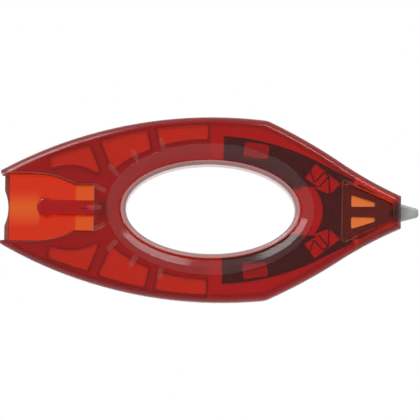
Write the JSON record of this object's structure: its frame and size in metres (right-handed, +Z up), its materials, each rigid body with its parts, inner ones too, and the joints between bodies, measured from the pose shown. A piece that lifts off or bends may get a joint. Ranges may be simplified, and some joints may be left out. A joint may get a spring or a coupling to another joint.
{
  "type": "finger-loop package opener",
  "caption": "See-through two-shell package opener with an oval finger hole, a sliding steel piercing tip and a guarded film blade in the forked tail.",
  "frame": {"origin": "centre of the flat back face under the object's box", "axes": "+X from the forked tail to the steel tip, +Y across the flat plan, +Z up through the thickness, from the back face to the front face"},
  "size_m": [0.12, 0.0532, 0.0108],
  "materials": {
    "red_plastic": "see-through, moulded, glossy",
    "smoke_plastic": "smoke-tinted, see-through, satin",
    "steel": "matt ground"
  },
  "bodies": {
    "casing": {"front_shell": "red_plastic", "back_shell": "red_plastic", "finger_ring": "red_plastic", "rear_frame": "red_plastic", "guide_foot": "red_plastic", "blade_clamp": "red_plastic", "film_blade": "steel", "guide_arm_upper": "smoke_plastic", "guide_arm_lower": "smoke_plastic", "zigzag_spring_upper": "smoke_plastic", "zigzag_spring_lower": "smoke_plastic"},
    "tip_carriage": {"tip_slider": "smoke_plastic", "thumb_pad": "red_plastic", "steel_tip": "steel"}
  },
  "joints": [
    {"name": "tip_slide", "type": "slide", "parent": "casing", "child": "tip_carriage", "axis": [1, 0, 0], "range_m": [-0.0054, 0], "stiffness_N_per_m": 300, "deforming": ["zigzag_spring_upper", "zigzag_spring_lower"]}
  ]
}
